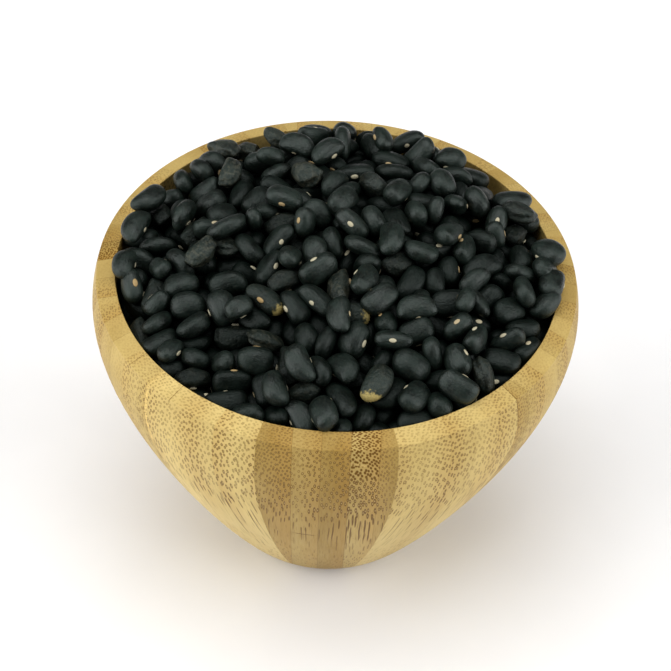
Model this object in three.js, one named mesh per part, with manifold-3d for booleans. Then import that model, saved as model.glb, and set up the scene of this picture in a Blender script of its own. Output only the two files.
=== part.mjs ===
// A turned bamboo bowl heaped with dried black beans.
// Millimetres, +Z up. The origin is the middle of the bowl's foot, and the front is towards -Y.

import * as THREE from 'three';
import { mergeVertices } from 'three/addons/utils/BufferGeometryUtils.js';
import Module from 'manifold-3d';

const wasm = await Module();
wasm.setup();

// ---- The bowl -----------------------------------------------------------------------------

const rimRadius = 60; // outer edge of the rim's top
const rimHeight = 88; // height of that edge over the foot
const rimWidth = 4.9; // across the rim's top
const rimSlope = 1.2; // the rim's inner edge stands this much above its outer edge
const rimRound = 0.9; // softened edges of the rim
const lipDrop = 4.5; // the wall begins to lean in this far below the rim
const bellyRadius = 61.3; // widest place
const bellyHeight = 79;
const bellyPull = 20.5; // how far the wall stays steep below the belly
const heelAngle = THREE.MathUtils.degToRad(41); // slant of the wall, from upright, where the heel begins
const heelPull = 8; // how far that slant reaches up the wall
const heelRadius = 12; // rounding between wall and foot
const footRadius = 20; // flat disc that the bowl stands on
const wall = 6; // thickness of wall and floor
const bowlSides = 60;
const wallSteps = 6;
const heelSteps = 3;
const lipSteps = 2;

// ---- The heap -----------------------------------------------------------------------------

const seed = 27;
const gap = 0.3; // clearance between the beans and the bowl
const beanLength = 10.6;
const beanWidth = 6.8;
const beanThickness = 5.4;
const sizeSpread = 0.13; // a bean is up to this fraction longer or shorter than usual
const beanBend = 0.55; // how far the middle of a kidney-shaped bean bulges out
const beanSides = 6;
const spacing = 4.2; // least distance between two beans, measured along their middles
const tries = 12000; // places that are tried for a bean
const edgeRise = 2.6; // height of the outermost beans' middles above the rim's outer edge
const crown = 14.2; // height of the middle beans' middles above that edge
const backLift = 0.03; // the heap rises by this fraction of the distance towards the back
const heapRadius = 51.5; // how far out the beans' middles lie
const coreDepth = 0.4; // the core's surface lies this far under the beans' middles
const coreBrim = 4; // the core meets the wall this far below the rim
const unevenness = 1.1; // a bean lies up to this much higher or lower than its neighbours
const usualLean = THREE.MathUtils.degToRad(24); // most beans lean out of the heap's surface by less
const usualRoll = THREE.MathUtils.degToRad(20); // and roll about their length by less
const steepLean = THREE.MathUtils.degToRad(60); // lean of a bean that stands on an end
const oddShare = 0.14; // share of the beans that stand on an end, and of those that lie on a side
const coreRings = 4;
const coreSides = 36;

// Numbers from 0 to 1, in the same order on each run.
function randomNumbers(start) {
  let state = start;
  return () => {
    state = (Math.imul(state, 1664525) + 1013904223) >>> 0;
    return state / 2 ** 32;
  };
}

// The points of one face of the bowl, from the axis over the heel up to the belly.
// The face lies inside the bowl's outer face by the inset.
function wallPoints(inset) {
  const points = [new THREE.Vector2(0, inset)];
  const round = heelRadius - inset;
  for (let step = 0; step <= heelSteps; step += 1) {
    const angle = THREE.MathUtils.lerp(-Math.PI / 2, -heelAngle, step / heelSteps);
    const across = new THREE.Vector2(Math.cos(angle), Math.sin(angle)).multiplyScalar(round);
    points.push(across.add(new THREE.Vector2(footRadius, heelRadius)));
  }
  const heel = points.at(-1);
  const slant = new THREE.Vector2(Math.sin(heelAngle), Math.cos(heelAngle));
  const side = new THREE.CubicBezierCurve(
    heel,
    heel.clone().addScaledVector(slant, heelPull),
    new THREE.Vector2(bellyRadius - inset, bellyHeight - bellyPull),
    new THREE.Vector2(bellyRadius - inset, bellyHeight),
  );
  return [...points, ...side.getPoints(wallSteps).slice(1)];
}

// Points over the rim, from the belly's outside to its inside.
function rimPoints() {
  const inner = new THREE.Vector2(rimRadius - rimWidth, rimHeight + rimSlope);
  const outer = new THREE.Vector2(rimRadius, rimHeight);
  const across = outer.clone().sub(inner).setLength(rimRound);
  const path = new THREE.Path();
  path.moveTo(bellyRadius, bellyHeight);
  path.quadraticCurveTo(bellyRadius, rimHeight - lipDrop, outer.x, outer.y - rimRound);
  path.quadraticCurveTo(outer.x, outer.y, outer.x - across.x, outer.y - across.y);
  path.lineTo(inner.x + across.x, inner.y + across.y);
  path.quadraticCurveTo(inner.x, inner.y, inner.x, inner.y - rimRound);
  return path.getPoints(lipSteps);
}

// Drops points of a profile that lie on the one before.
function tidyProfile(points) {
  return points.filter((point, i) => i === 0 || point.distanceTo(points[i - 1]) > 1e-4);
}

function bowlGeometry() {
  const profile = [...wallPoints(0), ...rimPoints(), ...wallPoints(wall).reverse()];
  const geometry = new THREE.LatheGeometry(tidyProfile(profile), bowlSides);
  return geometry.rotateX(Math.PI / 2);
}

// Height of the surface that the beans' middles lie on.
function heapHeight(x, y) {
  const out = Math.min(Math.hypot(x, y) / heapRadius, 1);
  return rimHeight + edgeRise + (crown - edgeRise) * (1 - out ** 2) + backLift * y;
}

// Direction that the heap's surface faces.
function heapNormal(x, y) {
  const step = 0.5;
  return new THREE.Vector3(
    heapHeight(x - step, y) - heapHeight(x + step, y),
    heapHeight(x, y - step) - heapHeight(x, y + step),
    2 * step,
  ).normalize();
}

// Makes a solid of a closed geometry.
function solidOf(geometry) {
  const bare = geometry.clone();
  bare.deleteAttribute('normal');
  bare.deleteAttribute('uv');
  const merged = mergeVertices(bare, 1e-4);
  const vertProperties = new Float32Array(merged.attributes.position.array);
  const triVerts = new Uint32Array(merged.index.array);
  return new wasm.Manifold(new wasm.Mesh({ numProp: 3, vertProperties, triVerts }));
}

// Makes a geometry of the largest shell of a solid, so that scraps and sealed hollows drop out.
function geometryOf(solid) {
  const shells = solid.decompose().sort((a, b) => b.volume() - a.volume());
  const mesh = shells[0].getMesh();
  const geometry = new THREE.BufferGeometry();
  geometry.setAttribute('position', new THREE.BufferAttribute(mesh.vertProperties, 3));
  geometry.setIndex(new THREE.BufferAttribute(mesh.triVerts, 1));
  geometry.computeVertexNormals();
  return geometry;
}

// The packed beans that don't show: they fill the bowl and bulge up under the top layer.
function coreGeometry() {
  const inset = wall + gap;
  const side = wallPoints(inset);
  const brimHeight = rimHeight - coreBrim;
  const brimRadius = rimRadius - rimWidth - gap;
  const top = [];
  for (let ring = 0; ring <= coreRings; ring += 1) {
    const radius = heapRadius * (1 - ring / coreRings);
    top.push(new THREE.Vector2(radius, heapHeight(radius, 0) - coreDepth));
  }
  const profile = [...side, new THREE.Vector2(brimRadius, brimHeight), ...top];
  const geometry = new THREE.LatheGeometry(tidyProfile(profile), coreSides).rotateX(Math.PI / 2);
  const place = geometry.attributes.position;
  for (let i = 0; i < place.count; i += 1) {
    if (place.getZ(i) > brimHeight + gap) {
      place.setZ(i, place.getZ(i) + backLift * place.getY(i));
    }
  }
  return geometry;
}

// One bean along X, lying flat: blunt round ends and a slight kidney bend across Y.
function beanGeometry(length, width, thickness) {
  const profile = [
    new THREE.Vector2(0, -1),
    new THREE.Vector2(0.9, -0.58),
    new THREE.Vector2(0.9, 0.58),
    new THREE.Vector2(0, 1),
  ];
  const geometry = new THREE.LatheGeometry(profile, beanSides).rotateZ(-Math.PI / 2);
  geometry.scale(length / 2, width / 2, thickness / 2);
  const place = geometry.attributes.position;
  for (let i = 0; i < place.count; i += 1) {
    const along = place.getX(i) / (length / 2);
    place.setY(i, place.getY(i) + beanBend * (0.5 - along ** 2));
  }
  return geometry;
}

// Three points along a bean's length, seen from above.
function thirds({ x, y, turn }) {
  const reach = (beanLength - beanWidth) / 2;
  return [-reach, 0, reach].map(
    (step) => new THREE.Vector2(x + step * Math.cos(turn), y + step * Math.sin(turn)),
  );
}

// Places for the beans on top: the tries that keep their distance from the ones before.
function beanPlaces(random) {
  const places = [];
  const taken = [];
  for (let i = 0; i < tries; i += 1) {
    const radius = heapRadius * Math.sqrt(random());
    const around = 2 * Math.PI * random();
    const place = { x: radius * Math.cos(around), y: radius * Math.sin(around), turn: Math.PI * random() };
    const points = thirds(place);
    if (points.every((point) => taken.every((other) => other.distanceTo(point) > spacing))) {
      places.push(place);
      taken.push(...points);
    }
  }
  return places;
}

// Turns a bean by random angles and lays it on the heap's surface.
function layBean(place, random) {
  const size = 1 + sizeSpread * (2 * random() - 1);
  const geometry = beanGeometry(beanLength * size, beanWidth * (0.5 + size / 2), beanThickness);
  const onSide = random() < oddShare;
  const onEnd = random() < oddShare;
  geometry.rotateX(onSide ? Math.PI / 2 : usualRoll * (2 * random() - 1));
  geometry.rotateY(onEnd ? steepLean : usualLean * (2 * random() - 1));
  geometry.rotateZ(place.turn);

  const normal = heapNormal(place.x, place.y);
  const up = new THREE.Vector3(0, 0, 1);
  geometry.applyQuaternion(new THREE.Quaternion().setFromUnitVectors(up, normal));
  const height = heapHeight(place.x, place.y) + unevenness * (2 * random() - 1);
  geometry.translate(place.x, place.y, height);
  return geometry;
}

// How far a bean reaches into the bowl's rim or wall.
function reachIntoBowl(geometry) {
  const place = geometry.attributes.position;
  const limit = rimRadius - rimWidth - 2 * gap;
  const clearHeight = rimHeight + rimSlope + gap;
  let reach = 0;
  for (let i = 0; i < place.count; i += 1) {
    const out = Math.hypot(place.getX(i), place.getY(i)) - limit;
    if (place.getZ(i) < clearHeight) reach = Math.max(reach, out);
  }
  return reach;
}

// Moves a bean towards the axis until it is clear of the bowl.
function clearOfBowl(geometry) {
  for (let reach = reachIntoBowl(geometry); reach > 0; reach = reachIntoBowl(geometry)) {
    geometry.computeBoundingSphere();
    const middle = geometry.boundingSphere.center.clone().setZ(0);
    const shift = middle.setLength(-(reach + gap));
    geometry.translate(shift.x, shift.y, 0);
  }
  return geometry;
}

function beansGeometry() {
  const random = randomNumbers(seed);
  let heap = solidOf(coreGeometry());
  for (const place of beanPlaces(random)) {
    heap = heap.add(solidOf(clearOfBowl(layBean(place, random))));
  }
  return geometryOf(heap);
}

// ---- The object ---------------------------------------------------------------------------

const bamboo = new THREE.MeshStandardMaterial({ color: 0xc9a565, roughness: 0.5, metalness: 0 });
const blackBean = new THREE.MeshStandardMaterial({
  color: 0x1d2124,
  roughness: 0.55,
  metalness: 0,
  flatShading: true,
});

const bowl = new THREE.Mesh(bowlGeometry(), bamboo);
bowl.name = 'bowl';

const beans = new THREE.Mesh(beansGeometry(), blackBean);
beans.name = 'beans';

const bowlOfBeans = new THREE.Group();
bowlOfBeans.add(bowl, beans);

export default bowlOfBeans;
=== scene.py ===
"""A turned bamboo bowl heaped with dried black beans. Metres, +Z up, the front towards -Y."""

import logging
import math
import random
from dataclasses import dataclass
from enum import Enum
from typing import Iterator, Sequence

import bmesh
import bpy
import numpy as np
from mathutils import Euler, Matrix, Quaternion, Vector
from mathutils import noise as field_noise
from mathutils.geometry import interpolate_bezier


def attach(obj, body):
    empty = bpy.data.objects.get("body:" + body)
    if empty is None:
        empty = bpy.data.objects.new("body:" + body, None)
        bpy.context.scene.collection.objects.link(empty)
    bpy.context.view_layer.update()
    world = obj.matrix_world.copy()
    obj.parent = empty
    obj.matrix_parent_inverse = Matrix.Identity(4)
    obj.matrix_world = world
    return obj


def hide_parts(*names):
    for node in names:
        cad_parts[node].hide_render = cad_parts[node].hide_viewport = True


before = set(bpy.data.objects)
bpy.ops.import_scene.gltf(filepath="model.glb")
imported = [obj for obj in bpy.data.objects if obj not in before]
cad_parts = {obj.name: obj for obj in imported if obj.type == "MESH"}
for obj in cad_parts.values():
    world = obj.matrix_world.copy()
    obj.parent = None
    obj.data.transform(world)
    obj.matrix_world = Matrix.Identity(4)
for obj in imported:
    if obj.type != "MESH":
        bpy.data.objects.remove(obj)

logging.basicConfig(level=logging.INFO, format="%(message)s")
LOG = logging.getLogger("bowl_of_beans")

MM = 0.001
UP = Vector((0, 0, 1))
Colour = tuple[float, float, float]
Socket = bpy.types.NodeSocket
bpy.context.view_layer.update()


# ---- Shared helpers ---------------------------------------------------------------------------


def new_piece(name: str, form: bmesh.types.BMesh | bpy.types.Mesh) -> bpy.types.Object:
    """Links a mesh or a bmesh as an object at the origin, smooth shaded.

    Args:
        name: The piece's name.
        form: The shape, in metres. A bmesh is freed.

    Returns:
        The new object.
    """
    mesh = form
    if isinstance(form, bmesh.types.BMesh):
        mesh = bpy.data.meshes.new(name)
        form.to_mesh(mesh)
        form.free()
    mesh.name = name
    mesh.shade_smooth()
    piece = bpy.data.objects.new(name, mesh)
    bpy.context.scene.collection.objects.link(piece)
    return piece


def spin_profile(profile: Sequence[Vector], steps: int, start: float = 0.0) -> bmesh.types.BMesh:
    """Turns a profile once round the Z axis.

    Args:
        profile: Points with the radius in x and the height in z.
        steps: Number of steps of the turn.
        start: Angle of the first meridian from the +X axis.

    Returns:
        The closed surface, facing out.
    """
    form = bmesh.new()
    turn = Matrix.Rotation(start, 3, "Z")
    corners = [form.verts.new(turn @ point) for point in profile]
    for low, high in zip(corners, corners[1:]):
        form.edges.new((low, high))
    bmesh.ops.spin(
        form,
        geom=form.verts[:] + form.edges[:],
        cent=(0, 0, 0),
        axis=(0, 0, 1),
        angle=2 * math.pi,
        steps=steps,
        use_merge=True,
    )
    bmesh.ops.remove_doubles(form, verts=form.verts, dist=0.01 * MM)
    bmesh.ops.recalc_face_normals(form, faces=form.faces)
    return form


class NodeSheet:
    """A material's node tree, with short calls for the nodes that the finishes use."""

    def __init__(self, name: str) -> None:
        """Makes an empty material of that name."""
        self.material = bpy.data.materials.new(name)
        self.material.use_nodes = True
        self.tree = self.material.node_tree
        self.tree.nodes.clear()

    def add(self, kind: str, **settings: object) -> bpy.types.Node:
        """Adds a node and sets its properties."""
        node = self.tree.nodes.new(kind)
        for name, value in settings.items():
            setattr(node, name, value)
        return node

    def feed(self, socket: Socket, value: object) -> None:
        """Links a socket to another one, or sets its value."""
        if isinstance(value, Socket):
            self.tree.links.new(value, socket)
        elif value is not None:
            socket.default_value = value

    def math(self, operation: str, a: object, b: object = None, clamp: bool = False) -> Socket:
        """One Math node."""
        node = self.add("ShaderNodeMath", operation=operation, use_clamp=clamp)
        self.feed(node.inputs[0], a)
        self.feed(node.inputs[1], b)
        return node.outputs[0]

    def times(self, a: object, b: object, clamp: bool = False) -> Socket:
        """The product of two values."""
        return self.math("MULTIPLY", a, b, clamp)

    def plus(self, a: object, b: object, clamp: bool = False) -> Socket:
        """The sum of two values."""
        return self.math("ADD", a, b, clamp)

    def minus(self, a: object, b: object, clamp: bool = False) -> Socket:
        """The first value less the second."""
        return self.math("SUBTRACT", a, b, clamp)

    def stretch(self, vector: Socket, factors: Sequence[float]) -> Socket:
        """A vector with each part times its factor."""
        return self.vector("MULTIPLY", vector, factors)

    def vector(self, operation: str, a: object, b: object = None, scale: object = None) -> Socket:
        """One Vector Math node."""
        node = self.add("ShaderNodeVectorMath", operation=operation)
        self.feed(node.inputs[0], a)
        self.feed(node.inputs[1], b)
        if scale is not None:
            self.feed(node.inputs["Scale"], scale)
        return node.outputs["Vector"]

    def parts(self, vector: Socket) -> list[Socket]:
        """The three parts of a vector."""
        node = self.add("ShaderNodeSeparateXYZ")
        self.feed(node.inputs[0], vector)
        return list(node.outputs)

    def joined(self, x: object, y: object, z: object) -> Socket:
        """A vector of three parts."""
        node = self.add("ShaderNodeCombineXYZ")
        for socket, value in zip(node.inputs, (x, y, z)):
            self.feed(socket, value)
        return node.outputs[0]

    def turned(self, vector: Socket, axis: str, angle: object) -> Socket:
        """A vector turned about an axis."""
        node = self.add("ShaderNodeVectorRotate", rotation_type=f"{axis}_AXIS")
        self.feed(node.inputs["Vector"], vector)
        self.feed(node.inputs["Angle"], angle)
        return node.outputs[0]

    def noise(self, vector: Socket, scale: float, detail: float = 2.0, rough: float = 0.5) -> Socket:
        """Noise from 0 to 1."""
        node = self.add("ShaderNodeTexNoise")
        self.feed(node.inputs["Vector"], vector)
        node.inputs["Scale"].default_value = scale
        node.inputs["Detail"].default_value = detail
        node.inputs["Roughness"].default_value = rough
        return node.outputs["Fac"]

    def cells(self, vector: Socket, randomness: float) -> tuple[Socket, Socket]:
        """Distance across Z to the nearest column's middle, and that column's random number."""
        node = self.add("ShaderNodeTexVoronoi", voronoi_dimensions="2D")
        self.feed(node.inputs["Vector"], vector)
        node.inputs["Scale"].default_value = 1.0
        node.inputs["Randomness"].default_value = randomness
        return node.outputs["Distance"], self.parts(node.outputs["Color"])[0]

    def attribute(self, name: str) -> bpy.types.Node:
        """The node that reads one of the mesh's attributes."""
        return self.add("ShaderNodeAttribute", attribute_name=name)

    def fade(self, value: Socket, low: object, high: object, start: float = 0.0, end: float = 1.0) -> Socket:
        """Goes smoothly from start at low to end at high."""
        node = self.add("ShaderNodeMapRange", interpolation_type="SMOOTHSTEP")
        self.feed(node.inputs["Value"], value)
        self.feed(node.inputs["From Min"], low)
        self.feed(node.inputs["From Max"], high)
        node.inputs["To Min"].default_value = start
        node.inputs["To Max"].default_value = end
        return node.outputs["Result"]

    def blend(self, share: object, a: object, b: object) -> Socket:
        """Mixes two colours, by the share of the second."""
        node = self.add("ShaderNodeMix", data_type="RGBA")
        self.feed(node.inputs[0], share)
        self.feed(node.inputs[6], a if isinstance(a, Socket) else (*a, 1.0))
        self.feed(node.inputs[7], b if isinstance(b, Socket) else (*b, 1.0))
        return node.outputs[2]

    def finish(
        self, colour: object, rough: object, height: Socket | None, relief: float, **others: object
    ) -> None:
        """Closes the sheet with a Principled shader.

        Args:
            colour: Base colour.
            rough: Roughness.
            height: Relief from 0 to 1, or None for a plain surface.
            relief: Depth of the relief in metres.
            **others: Other sockets of the shader, with _ for each space.
        """
        shader = self.add("ShaderNodeBsdfPrincipled")
        self.feed(shader.inputs["Base Color"], colour if isinstance(colour, Socket) else (*colour, 1.0))
        self.feed(shader.inputs["Roughness"], rough)
        for name, value in others.items():
            self.feed(shader.inputs[name.replace("_", " ")], value)
        if height is not None:
            bump = self.add("ShaderNodeBump")
            bump.inputs["Distance"].default_value = relief
            bump.inputs["Strength"].default_value = 1.0
            self.feed(bump.inputs["Height"], height)
            self.feed(shader.inputs["Normal"], bump.outputs[0])
        output = self.add("ShaderNodeOutputMaterial")
        self.feed(output.inputs["Surface"], shader.outputs[0])


# ---- The bowl ---------------------------------------------------------------------------------


@dataclass(frozen=True)
class Stave:
    """One of the wedges that the bowl was turned from, glued up from upright strips.

    Attributes:
        left: Azimuth of its left joint in degrees, 0 in front and 90 at the right.
        first: Place of the first glue line in millimetres right of the stave's middle.
        tones: Depth of colour of each strip, from 0, pale, to 1, brown.
        dots: Weight of the fibre bundles in each strip, from 0 to 1.
        sides: For each strip, whether its dense outer side is at the right, r, or the left, l. A
            capital stands for a strip whose bundles are close together.
    """

    left: float
    first: float
    tones: tuple[float, ...]
    dots: tuple[float, ...]
    sides: str


@dataclass(frozen=True)
class Scar:
    """A short mark in the bamboo, such as a chip, a crack or a line of glue.

    Attributes:
        azimuth: Degrees from the front, to the right.
        height: Height of its middle over the foot, in millimetres.
        length: Half its length, in millimetres.
        width: Half its width, in millimetres.
        tilt: Degrees that it rises to the right.
        dark: 1 for a dark mark, 0 for a pale one.
    """

    azimuth: float
    height: float
    length: float
    width: float
    tilt: float
    dark: float


STAVES = (
    Stave(-16.0, -8.0, (0.84, 0.78, 0.88, 0.66, 0.78), (0.85, 0.65, 0.72, 1.0, 0.6), "RrrRL"),
    Stave(15.4, -10.2, (0.26, 0.3, 0.37, 0.3, 0.36), (0.55, 0.6, 0.8, 0.5, 0.65), "lrlrl"),
    Stave(46.5, -11.5, (0.68, 0.54, 0.52, 0.6, 0.56), (0.84, 0.7, 0.2, 0.65, 0.3), "Lrlrr"),
    Stave(76.0, -9.0, (0.66, 0.76, 0.74, 0.66, 0.66), (0.7, 0.15, 0.75, 0.1, 0.65), "rlrlR"),
    Stave(106.0, -12.5, (0.6, 0.54, 0.6, 0.56, 0.7), (0.15, 0.75, 0.2, 0.8, 0.3), "lRrlr"),
    Stave(136.0, -10.5, (0.54, 0.68, 0.56, 0.52, 0.54), (0.65, 0.2, 0.8, 0.15, 0.6), "rlRrl"),
    Stave(166.0, -8.5, (0.52, 0.46, 0.62, 0.54, 0.5), (0.2, 0.7, 0.25, 0.75, 0.3), "lrlRr"),
    Stave(196.0, -11.0, (0.6, 0.5, 0.54, 0.68, 0.56), (0.7, 0.2, 0.6, 0.85, 0.15), "Rrlrl"),
    Stave(227.0, -9.5, (0.54, 0.54, 0.7, 0.54, 0.6), (0.2, 0.7, 0.3, 0.8, 0.5), "lrlRl"),
    Stave(257.5, -8.2, (0.84, 0.9, 0.58, 0.64, 0.54), (0.75, 0.95, 0.1, 0.75, 0.5), "RRlrr"),
    Stave(287.0, -9.0, (0.6, 0.58, 0.46, 0.4, 0.46), (0.8, 0.3, 0.2, 0.55, 0.8), "rlrlr"),
    Stave(314.6, -8.6, (0.2, 0.18, 0.2, 0.16, 0.2), (0.65, 0.55, 0.62, 0.82, 0.75), "lrllr"),
)

SCARS = (
    Scar(-45.4, 77.0, 0.5, 12.5, 0.0, 0.0),
    Scar(-38.6, 88.6, 0.12, 2.2, 0.0, 1.0),
    Scar(-53.0, 88.6, 0.1, 2.4, 0.0, 1.0),
    Scar(-5.4, 47.4, 2.9, 0.36, -3.0, 1.0),
    Scar(6.9, 84.0, 1.9, 0.32, -14.0, 0.3),
    Scar(22.5, 61.5, 2.6, 0.18, 58.0, 0.55),
    Scar(21.0, 52.5, 3.4, 0.18, 52.0, 0.5),
    Scar(46.5, 86.0, 0.16, 5.0, 0.0, 1.0),
)


@dataclass(frozen=True)
class BambooFinish:
    """Oiled bamboo. The fibres lean outwards, so that the turning cuts them across at the rim and
    the upper wall, as dots and rings, and lays them bare along their length below, as streaks. The
    low wall is paler, partly for its bare long grain and partly as painted light for the floor's bounce.

    Attributes:
        pale: The palest strips.
        deep: The brownest strips.
        warm: Tint of a strip's dense side.
        long_grain_and_bounce: The low wall, where the fibres lie bare.
        bundle: The brown caps of the fibre bundles.
        pith: The cores of the bundles.
        glue: Pale lines of glue.
        lean: Angle of the fibres to the upright.
        wide: Usual distance between the bundles, in millimetres.
        close: The same in the strips whose bundles are close together.
        flat: Thickness of a bundle as a share of its width.
        skew: Turn of the lattice on which the bundles stand.
        rough: Usual roughness.
        relief: Depth of the grain.
    """

    pale: Colour = (0.69, 0.525, 0.2)
    deep: Colour = (0.3, 0.185, 0.04)
    warm: Colour = (0.4, 0.2, 0.03)
    long_grain_and_bounce: Colour = (0.66, 0.53, 0.26)
    bundle: Colour = (0.15, 0.07, 0.008)
    pith: Colour = (0.75, 0.6, 0.28)
    glue: Colour = (0.78, 0.56, 0.19)
    lean: float = math.radians(23.5)
    wide: float = 0.96
    close: float = 0.78
    flat: float = 0.7
    skew: float = math.radians(31.0)
    rough: float = 0.5
    relief: float = 0.05 * MM

    def material(self) -> bpy.types.Material:
        """Builds the material, which reads the bowl's strip attributes."""
        sheet = NodeSheet("laminated_bamboo")
        coordinates = sheet.add("ShaderNodeTexCoord").outputs["Object"]
        place = sheet.vector("SCALE", coordinates, scale=1 / MM)
        turn, left, width = sheet.parts(sheet.attribute("strip_frame").outputs["Vector"])
        tone, dots, side = sheet.parts(sheet.attribute("strip_look").outputs["Vector"])
        facing = sheet.turned(place, "Z", sheet.times(turn, -1.0))
        across = sheet.parts(facing)[0]
        fibres = self.fibre_space(sheet, facing, turn)

        share = sheet.math("DIVIDE", sheet.minus(across, left), width)
        graded = sheet.times(sheet.math("SIGN", side), sheet.minus(share, 0.5))
        dense = sheet.fade(sheet.plus(graded, 0.5), 0.1, 1.0)
        pitch = sheet.fade(sheet.math("ABSOLUTE", side), 1.4, 1.6, self.wide, self.close)
        height = sheet.parts(place)[2]
        caps, cores = self.bundles(sheet, fibres, pitch, dense, dots, height)

        grain = sheet.noise(sheet.stretch(fibres, (2.2, 2.2, 0.09)), 1.0, 3.0, 0.6)
        cloud = sheet.noise(sheet.stretch(fibres, (0.12, 0.12, 0.03)), 1.0, 2.0)
        depth = sheet.plus(tone, sheet.times(sheet.minus(cloud, 0.5), 0.5))
        depth = sheet.plus(depth, sheet.times(sheet.minus(grain, 0.5), 0.35))
        colour = sheet.blend(sheet.plus(depth, 0.0, clamp=True), self.pale, self.deep)
        warmth = sheet.times(sheet.times(dense, dots), 0.35)
        colour = sheet.blend(warmth, colour, self.warm)
        # Paler towards the bottom: partly the long grain that lies bare there, partly painted light for the
        # light that the floor throws up on the low wall.
        grain_and_bounce_share = sheet.times(sheet.fade(height, 36.0, 66.0, 0.5, 0.0), sheet.minus(1.0, tone))
        colour = sheet.blend(grain_and_bounce_share, colour, self.long_grain_and_bounce)
        thin = sheet.noise(sheet.stretch(fibres, (2.6, 2.6, 0.12)), 1.0, 2.0)
        low = sheet.times(sheet.fade(height, 60.0, 70.0, 1.0, 0.0), sheet.fade(height, 36.0, 50.0, 0.35, 1.0))
        streaks = sheet.times(sheet.fade(thin, 0.56, 0.68, 0.0, 0.5), low)
        colour = sheet.blend(sheet.times(streaks, dots), colour, self.bundle)
        colour = sheet.blend(cores, colour, self.pith)
        colour = sheet.blend(caps, colour, self.bundle)

        rest = sheet.minus(1.0, share)
        edge = sheet.times(sheet.math("MINIMUM", share, rest), width)
        seam = sheet.times(sheet.fade(edge, 0.05, 0.16, 1.0, 0.0), sheet.fade(tone, 0.1, 0.9, 0.06, 0.34))
        colour = sheet.blend(seam, colour, self.bundle)
        for scar in SCARS:
            mark = self.scar(sheet, place, scar)
            tint = tuple(g + (b - g) * scar.dark for g, b in zip(self.glue, self.bundle))
            colour = sheet.blend(mark, colour, tint)

        rough = sheet.plus(sheet.times(grain, 0.14), self.rough - 0.07)
        hollows = sheet.minus(sheet.times(grain, 0.3), caps)
        sheet.finish(colour, rough, hollows, self.relief, Specular_IOR_Level=0.12)
        return sheet.material

    def fibre_space(self, sheet: NodeSheet, facing: Socket, turn: Socket) -> Socket:
        """Coordinates with the fibres along Z, different in each stave and slightly wandering.

        Args:
            sheet: The material's nodes.
            facing: Position in millimetres, turned so that the stave faces -Y.
            turn: The stave's azimuth.

        Returns:
            The coordinates in millimetres.
        """
        leaned = sheet.turned(facing, "X", -self.lean)
        apart = sheet.joined(sheet.times(turn, 7.3), sheet.times(turn, 31.7), 0.0)
        leaned = sheet.vector("ADD", leaned, apart)
        slow = sheet.stretch(leaned, (0.11, 0.11, 0.05))
        bend = sheet.add("ShaderNodeTexNoise")
        sheet.feed(bend.inputs["Vector"], slow)
        bend.inputs["Scale"].default_value = 1.0
        offset = sheet.vector("SUBTRACT", bend.outputs["Color"], (0.5, 0.5, 0.5))
        return sheet.vector("ADD", leaned, sheet.stretch(offset, (1.0, 1.0, 0.0)))

    def bundles(
        self, sheet: NodeSheet, fibres: Socket, pitch: Socket, dense: Socket, dots: Socket, height: Socket
    ) -> tuple[Socket, Socket]:
        """Where the bundles' brown caps and their pale cores show, from 0 to 1.

        Args:
            sheet: The material's nodes.
            fibres: Coordinates with the fibres along Z.
            pitch: How far apart the bundles stand, in millimetres.
            dense: 0 at the strip's loose side, 1 at its dense side.
            dots: The strip's weight of bundles.
            height: Height over the foot in millimetres.

        Returns:
            The share of brown and the share of pale pith.
        """
        oval = sheet.turned(sheet.stretch(fibres, (1.0, 1 / self.flat, 1.0)), "Z", self.skew)
        lattice = sheet.vector("SCALE", oval, scale=sheet.math("DIVIDE", 1.0, pitch))
        distance, pick = sheet.cells(lattice, 0.62)
        strong = sheet.fade(dots, 0.85, 1.0)
        radius = sheet.plus(sheet.times(pick, 0.07), sheet.fade(strong, 0.0, 1.0, 0.21, 0.29))
        radius = sheet.times(radius, sheet.fade(height, 52.0, 66.0, 0.62, 1.0))
        out = sheet.math("DIVIDE", distance, radius)
        inside = sheet.fade(out, 0.9, 1.3, 1.0, 0.0)
        core = sheet.fade(out, 0.15, 0.75, 1.0, 0.0)
        filled = sheet.times(strong, sheet.fade(height, 77.0, 82.0))
        filled = sheet.math("MAXIMUM", filled, sheet.fade(height, 54.0, 66.0, 1.0, 0.0))
        core = sheet.times(core, sheet.minus(1.0, filled))
        patch = sheet.noise(sheet.stretch(fibres, (0.5, 0.5, 0.1)), 1.0, 2.0, 0.6)
        weight = sheet.times(sheet.fade(dots, 0.0, 1.0, 0.15, 1.25), sheet.fade(patch, 0.3, 0.6, 0.8, 1.1))
        graded = sheet.math("MAXIMUM", sheet.fade(dense, 0.0, 0.9, 0.72, 1.15), strong)
        weight = sheet.times(weight, graded)
        weight = sheet.times(weight, sheet.fade(height, 38.0, 52.0, 0.4, 1.0))
        faint = sheet.minus(sheet.fade(height, 87.2, 88.2), strong, clamp=True)
        weight = sheet.times(weight, sheet.minus(1.0, sheet.times(faint, 0.28)))
        caps = sheet.minus(inside, core, clamp=True)
        pith = sheet.times(core, sheet.times(weight, 0.35))
        return sheet.times(caps, weight, clamp=True), pith

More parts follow.
